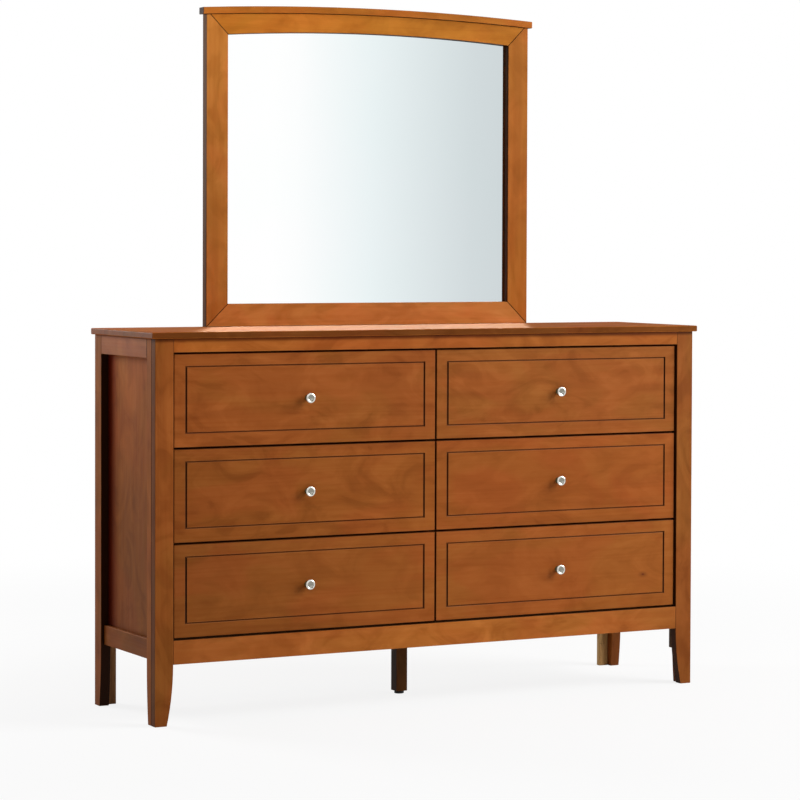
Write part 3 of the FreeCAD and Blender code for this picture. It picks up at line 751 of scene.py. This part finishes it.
mirrorRails = {
    "nodes": ["mirror_top_rail", "mirror_bottom_rail"], "finish": "mirror", "slot": "stained_wood",
    "ease": 0.0011, "seam": 0.85, "tones": {"mirror_top_rail": (1.76, 1.42), "mirror_bottom_rail": 1.46},
    "tint": {"mirror_top_rail": (1.03, 1.04, 0.71), "mirror_bottom_rail": (1.04, 1.14, 1.75)},
    # the undersides get painted shade
    "faceOnly": True, "dim": [((0, 0, -1), 0.97)],
}
mirrorCap = {
    "nodes": ["mirror_cap"], "finish": "mirror", "slot": "stained_wood", "ease": 0.0014,
    "tones": {"mirror_cap": (1.55, 1.22)}, "tint": {"mirror_cap": (1.05, 0.98, 0.75)},
    # the underside and the ends get painted shade, the left end almost black
    "dim": [((0, 0, -1), 0.8), ((-1, 0, 0), 0.99), ((1, 0, 0), 0.9)],
}
hiddenFrame = {
    "nodes": ["back_top_rail", "back_bottom_rail", "centre_stretcher", "drawer_runners"],
    "finish": "plain", "slot": "plain_wood", "ease": 0.0008, "tone": 0.8,
}
cornerBlocks = dict(hiddenFrame, nodes=["corner_blocks"], tone=0.4)
pilotHole = {"across": 0.6945, "height": 0.0585}  # low in each back stile, left open


def pilotPlace(node, side):
    return (side * pilotHole["across"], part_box(node)[0].y, pilotHole["height"])


backStiles = {
    "nodes": both("back_stile"), "finish": "plain", "slot": "plain_wood", "ease": 0.0008,
    # the right stile brighter low down: painted light
    "tones": {"back_stile_left": 1.25, "back_stile_right": (2.1, 1.0)},
    "tint": {"back_stile_right": (0.92, 1.15, 1.25)},
    "bores": {name: {"places": [pilotPlace(name, side)], "axis": (0, -1, 0), "foot": 0.0016,
                     "mouth": 0.0019, "depth": 0.008}
              for name, side in zip(both("back_stile"), (-1, 1))},
}
darkBoards = {  # darkened with painted shade, as they show in the gaps between the drawers
    "nodes": ["bottom_cleats", "centre_partition"], "finish": "plain", "slot": "plain_wood",
    "ease": 0.0008, "tone": 0.3,
}
uprightScrews = (0.832, 0.874, 0.940, 1.650)  # heights: two into the case, two into the mirror's frame


def uprightHoles(node):
    low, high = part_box(node)
    return [((low.x + high.x) / 2, high.y, height) for height in uprightScrews]


mirrorUprights = {
    "nodes": both("mirror_support"), "finish": "plain", "slot": "plain_wood", "ease": 0.0008, "tone": 0.8,
    "bores": {name: {"places": uprightHoles(name), "axis": (0, 1, 0), "foot": 0.0021, "mouth": 0.0046,
                     "depth": 0.0027} for name in both("mirror_support")},
}
drawerBoxes = {
    "nodes": [d + "_box" for d in drawerNames], "finish": "plain", "slot": "plain_wood", "ease": 0.0008,
    "tone": 1.2,
}
thinPanels = {
    "nodes": ["back_panel", "mirror_back_board"] + [d + "_bottom" for d in drawerNames],
    "finish": "panel", "slot": "thin_panel", "ease": 0.0004, "tone": 1.0,
}
glassPlate = {
    "nodes": ["mirror_glass"], "finish": "glass", "slot": "mirror_glass", "ease": 0.0003, "tone": 1.0,
}

boardGroups = (
    topBoard, posts, farPost, sideFrames, sideTopRails, sideBackStiles, farBackStile, sidePanels,
    frontTopRail, frontBottomRail, centreLeg, drawerFronts, knottedFront,
    mirrorStiles, mirrorRails, mirrorCap, hiddenFrame, cornerBlocks, backStiles, darkBoards,
    mirrorUprights, drawerBoxes, thinPanels, glassPlate,
)
for boards in boardGroups:
    for node in boards["nodes"]:
        easedBoard(node, boards)
print("boards eased:", sum(len(boards["nodes"]) for boards in boardGroups))


# turned pieces: knobs, screws and the foot of the centre leg

millimetre = 0.001
touching = 0.000001  # corners nearer than this are one


def turnedPiece(name, shape, place, axis, body, node=None):
    bm = bmesh.new()
    dull = bm.faces.layers.float.new("neck")
    corners = [bm.verts.new((radius * millimetre, 0.0, reach * millimetre))
               for radius, reach in shape["outline"]]
    for first, second in zip(corners, corners[1:]):
        bm.edges.new((first, second))
    bmesh.ops.spin(bm, geom=list(bm.verts) + list(bm.edges), cent=(0, 0, 0), axis=(0, 0, 1),
                   angle=math.tau, steps=shape["steps"], use_merge=True)
    bmesh.ops.remove_doubles(bm, verts=bm.verts, dist=touching)
    bmesh.ops.recalc_face_normals(bm, faces=bm.faces)
    neck, (dish, soft) = shape.get("neck", 0.0), shape.get("dish", (0.0, 0.0))
    for face in bm.faces:
        face.smooth = True
        at = face.calc_center_median()
        # faces of the neck painted near black as painted shade, and the dish painted darker as a painted
        # reflection
        if at.z < neck * millimetre:
            face[dull] = 1.0
        elif at.xy.length < dish * millimetre:
            face[dull] = soft
    bmesh.ops.transform(bm, matrix=turnedTo(axis, place), verts=bm.verts)
    addPiece(name, bm, shape["finish"], body, node)


knob = {  # half outline in mm from the drawer outwards: radius, reach
    "outline": [(0.0, 0.0), (7.2, 0.0), (7.6, 0.4), (7.5, 1.0), (6.2, 1.7), (5.2, 2.9), (4.8, 5.0),
                (4.8, 9.0), (5.3, 11.6), (6.8, 13.4), (9.0, 14.5), (10.8, 15.1), (11.6, 15.6), (12.0, 16.2),
                (12.0, 16.6), (11.75, 17.1), (11.2, 17.6), (10.4, 17.92), (9.6, 18.0), (8.8, 17.9),
                (8.1, 17.66), (7.5, 17.4), (6.0, 17.1), (4.0, 16.85), (2.0, 16.7), (0.0, 16.65)],
    "steps": 48, "neck": 14.8, "finish": "nickel", "slot": "knob_metal",  # the neck is painted near black: painted shade under the head
    "dish": (8.0, 0.62),  # radius of the face inside the rim, and how much it is painted darker: a painted reflection
}
knobScrew = {  # pan head on a washer, inside the drawer
    "outline": [(0.0, 0.0), (5.5, 0.0), (5.6, 0.3), (5.5, 0.9), (4.3, 1.0), (4.2, 1.6), (3.4, 2.5),
                (2.0, 2.9), (1.3, 2.9), (1.2, 1.7), (0.0, 1.7)],
    "steps": 24, "finish": "zinc", "slot": "knob_metal",
}
for drawer in drawerNames:
    low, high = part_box(drawer + "_knob")
    across, height = (low.x + high.x) / 2, (low.z + high.z) / 2
    turnedPiece(drawer + "_knob_turned", knob, (across, high.y, height), (0, -1, 0), drawer,
                drawer + "_knob")
    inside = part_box(drawer + "_front")[1].y
    turnedPiece(drawer + "_knob_screw", knobScrew, (across, inside, height), (0, 1, 0), drawer)

foot = {
    "outline": [(0.0, 0.0), (10.6, 0.0), (11.6, 0.4), (12.0, 1.3), (12.0, 4.6), (11.7, 5.4), (10.8, 5.9),
                (9.4, 6.1), (9.2, 7.0), (0.0, 7.0)],
    "steps": 40, "finish": "black", "slot": "black_plastic",
}
low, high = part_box("centre_leg_foot")
underLeg = ((low.x + high.x) / 2, (low.y + high.y) / 2, low.z)
turnedPiece("centre_foot_turned", foot, underLeg, (0, 0, 1), "case", "centre_leg_foot")

sunkScrew = {  # flat head with a round socket, just under the face of the upright
    "outline": [(0.0, -2.5), (1.9, -2.5), (4.05, -0.55), (4.0, -0.4), (1.9, -0.35), (1.7, -1.5),
                (0.0, -1.6)],
    "steps": 24, "finish": "zinc", "slot": "knob_metal",
}
for node in mirrorUprights["nodes"]:
    for number, place in enumerate(uprightHoles(node)):
        turnedPiece(f"{node}_screw_{number + 1}", sunkScrew, place, (0, 1, 0), "case")

mirrorClips = {  # small plates that hold the board behind the glass
    "long": 0.034, "wide": 0.014, "thick": 0.0014, "round": 0.006, "roundSteps": 5, "ease": 0.0003,
    "overlap": 0.012, "heights": (1.09, 1.30, 1.51), "across": (-0.13, 0.13),
    "finish": "zinc", "slot": "knob_metal",
}
clipScrew = {
    "outline": [(0.0, 0.0), (3.0, 0.0), (3.1, 0.4), (2.8, 1.1), (2.0, 1.6), (1.2, 1.75), (1.1, 0.9),
                (0.0, 0.85)],
    "steps": 20, "finish": "zinc", "slot": "knob_metal",
}


def holdingClip(name, edge, outward, clip):
    bm = bmesh.new()
    bmesh.ops.create_cube(bm, size=1.0)
    bmesh.ops.scale(bm, vec=(clip["long"], clip["wide"], clip["thick"]), verts=bm.verts)
    upright = [e for e in bm.edges if abs(e.verts[0].co.z - e.verts[1].co.z) > clip["thick"] / 2]
    easeEdges(bm, upright, clip["round"], clip["roundSteps"])
    rim = [e for e in bm.edges
           if all(v.co.z > 0 for v in e.verts) and e.calc_face_angle() > easing["sharp"]]
    easeEdges(bm, rim, clip["ease"], easing["segments"])
    outwards = clip["long"] / 2 - clip["overlap"]
    bmesh.ops.translate(bm, verts=bm.verts, vec=(outwards, 0.0, clip["thick"] / 2))
    along, up = Vector(outward), Vector((0, 1, 0))
    turn = Matrix((along, up.cross(along), up)).transposed().to_4x4()
    bmesh.ops.transform(bm, matrix=Matrix.Translation(edge) @ turn, verts=bm.verts)
    bmesh.ops.recalc_face_normals(bm, faces=bm.faces)
    addPiece(name, bm, clip["finish"], "case")
    seat = Vector(edge) + along * (clip["long"] - clip["overlap"]) * 0.5 + up * clip["thick"]
    turnedPiece(name + "_screw", clipScrew, seat, (0, 1, 0), "case")


low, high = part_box("mirror_back_board")
clipPlaces = [((low.x, high.y, height), (-1, 0, 0)) for height in mirrorClips["heights"]]
clipPlaces += [((high.x, high.y, height), (1, 0, 0)) for height in mirrorClips["heights"]]
clipPlaces += [((across, high.y, low.z), (0, 0, -1)) for across in mirrorClips["across"]]
for number, (edge, outward) in enumerate(clipPlaces):
    holdingClip(f"mirror_clip_{number + 1}", edge, outward, mirrorClips)
print("knobs, foot, screws and clips made")


# floor, lamps and room

floorSheet = {
    "half": 24.0, "near": 0.9, "far": 3.4, "paint": (0.88, 0.88, 0.88), "rough": 0.9,
    "white": 0.85,  # how much of the near floor is plain white to the camera
    "mirrored": (0.62, 0.62, 0.61),  # the floor as wood and metal show it
}


def backgroundRay(tree):  # 1 for what the camera, metal and glass see
    path = addNode(tree, "LightPath")
    seen = calc(tree, "MAXIMUM", path.outputs["Is Camera Ray"], path.outputs["Is Glossy Ray"])
    return calc(tree, "MAXIMUM", seen, path.outputs["Is Transmission Ray"])


def layFloor(sheet):
    bm = bmesh.new()
    bmesh.ops.create_grid(bm, x_segments=1, y_segments=1, size=sheet["half"])
    mesh = bpy.data.meshes.new("floor")
    bm.to_mesh(mesh)
    bm.free()
    floor = bpy.data.objects.new("floor", mesh)
    scene.collection.objects.link(floor)
    finish, tree, skin = newFinish("paleFloor")
    output = next(n for n in tree.nodes if n.bl_idname == "ShaderNodeOutputMaterial")
    skin.inputs["Base Color"].default_value = rgb(sheet["paint"])
    skin.inputs["Roughness"].default_value = sheet["rough"]
    skin.inputs["Specular IOR Level"].default_value = 0.0
    away = addNode(tree, "VectorMath", operation="LENGTH")
    tree.links.new(addNode(tree, "TexCoord").outputs["Object"], away.inputs[0])
    fade = graded(tree, away.outputs["Value"], sheet["near"], sheet["far"], sheet["white"], 1.0)
    path = addNode(tree, "LightPath")
    plain = addNode(tree, "Emission")
    feed(tree, plain.inputs["Color"],
         blended(tree, path.outputs["Is Glossy Ray"], rgb(white), rgb(sheet["mirrored"])))
    mixed = addNode(tree, "MixShader")
    feed(tree, mixed.inputs[0], calc(tree, "MULTIPLY", fade, backgroundRay(tree)))
    tree.links.new(skin.outputs[0], mixed.inputs[1])
    tree.links.new(plain.outputs[0], mixed.inputs[2])
    tree.links.new(mixed.outputs[0], output.inputs[0])
    mesh.materials.append(finish)


layFloor(floorSheet)

lamps = {  # soft boxes; each size is its width and height
    "keyLamp": {"place": (4.05, -2.75, 2.75), "aim": (0.0, -0.1, 0.8), "size": (3.3, 3.1), "watts": 298.0},
    "sideLamp": {"place": (-1.6, 1.7, 1.55), "aim": (-0.74, 0.0, 0.8), "size": (0.9, 0.8), "watts": 30.0},
    "mirrorThrow": {  # what the glass throws back on the top board in front of it
        "place": (0.202, 0.538, 1.405), "aim": (-0.094, -0.018, 0.912), "size": (0.785, 0.511),
        "watts": 2.60, "colour": (0.81, 0.94, 0.87), "spread": 3.0, "only": ["top_board_eased"],
    },
}


def hangLamp(name, lamp):
    light = bpy.data.lights.new(name, "AREA")
    light.shape = "RECTANGLE"
    light.size, light.size_y = lamp["size"]
    light.energy = lamp["watts"]
    light.color = lamp.get("colour", white)
    hung = bpy.data.objects.new(name, light)
    hung.location = lamp["place"]
    hung.rotation_euler = (Vector(lamp["aim"]) - Vector(lamp["place"])).to_track_quat("-Z", "Y").to_euler()
    hung.visible_camera = False
    scene.collection.objects.link(hung)
    if "spread" in lamp:
        light.spread = math.radians(lamp["spread"])
    if "only" in lamp:  # this lamp lights these pieces, and nothing stands in its way
        lit, clear = bpy.data.collections.new(name + "Lit"), bpy.data.collections.new(name + "Clear")
        for piece in lamp["only"]:
            lit.objects.link(bpy.data.objects[piece])
            clear.objects.link(bpy.data.objects[piece])
        hung.light_linking.receiver_collection = lit
        hung.light_linking.blocker_collection = clear


for name, lamp in lamps.items():
    hangLamp(name, lamp)

room = {
    "from": (0.70, -0.25, 0.66), "fall": (-0.5, 1.0), "weak": 0.05, "strong": 0.53,  # soft light
    "seen": [  # the walls from left to right, as wood, metal and glass show them
        (0.00, (0.80, 0.80, 0.80)), (0.30, (0.90, 0.90, 0.90)), (0.42, white), (0.717, white),
        (0.7297, (0.835, 0.900, 0.910)), (0.7455, (0.650, 0.708, 0.725)),
        (0.755, (0.600, 0.655, 0.672)), (0.84, (0.56, 0.61, 0.62)), (0.93, white),
    ],
    "unlit": [  # what shows dark in the knobs, from its rim to its middle, and the light left there
        {"way": (-0.50, -0.86, -0.08), "rim": 0.78, "middle": 0.97, "left": 0.22},  # the end of the room
        {"way": (0.169, -0.921, 0.352), "rim": 0.980, "middle": 0.996, "left": 0.08},  # a dark stand
    ],
}


def paintRoom(look):
    world = bpy.data.worlds.new("room")
    scene.world = world
    world.use_nodes = True
    tree = world.node_tree
    tree.nodes.clear()
    output = addNode(tree, "OutputWorld")
    axes = addNode(tree, "SeparateXYZ")
    way = addNode(tree, "TexCoord").outputs["Generated"]
    tree.links.new(way, axes.inputs[0])
    sideways = calc(tree, "MULTIPLY_ADD", axes.outputs["X"], 0.5)  # 0 at the left, 1 at the right
    sideways.node.inputs[2].default_value = 0.5
    studio = shaded(tree, sideways, look["seen"], "LINEAR")
    path = addNode(tree, "LightPath")
    for spot in look["unlit"]:
        unlit = addNode(tree, "VectorMath", operation="DOT_PRODUCT")
        tree.links.new(way, unlit.inputs[0])
        unlit.inputs[1].default_value = spot["way"]
        dimmed = graded(tree, unlit.outputs["Value"], spot["rim"], spot["middle"], 1.0, spot["left"])
        studio = blended(tree, 1.0, studio, dimmed, "MULTIPLY")
    mirrored = blended(tree, path.outputs["Is Glossy Ray"], rgb(white), studio)
    seen = addNode(tree, "Background")
    tree.links.new(mirrored, seen.inputs["Color"])
    towards = addNode(tree, "VectorMath", operation="DOT_PRODUCT")
    tree.links.new(way, towards.inputs[0])
    towards.inputs[1].default_value = look["from"]
    soft = addNode(tree, "Background")
    feed(tree, soft.inputs["Strength"],
         graded(tree, towards.outputs["Value"], *look["fall"], look["weak"], look["strong"]))
    mixed = addNode(tree, "MixShader")
    feed(tree, mixed.inputs[0], backgroundRay(tree))
    tree.links.new(soft.outputs[0], mixed.inputs[1])
    tree.links.new(seen.outputs[0], mixed.inputs[2])
    tree.links.new(mixed.outputs[0], output.inputs[0])


paintRoom(room)
print("floor, lamps and room ready")
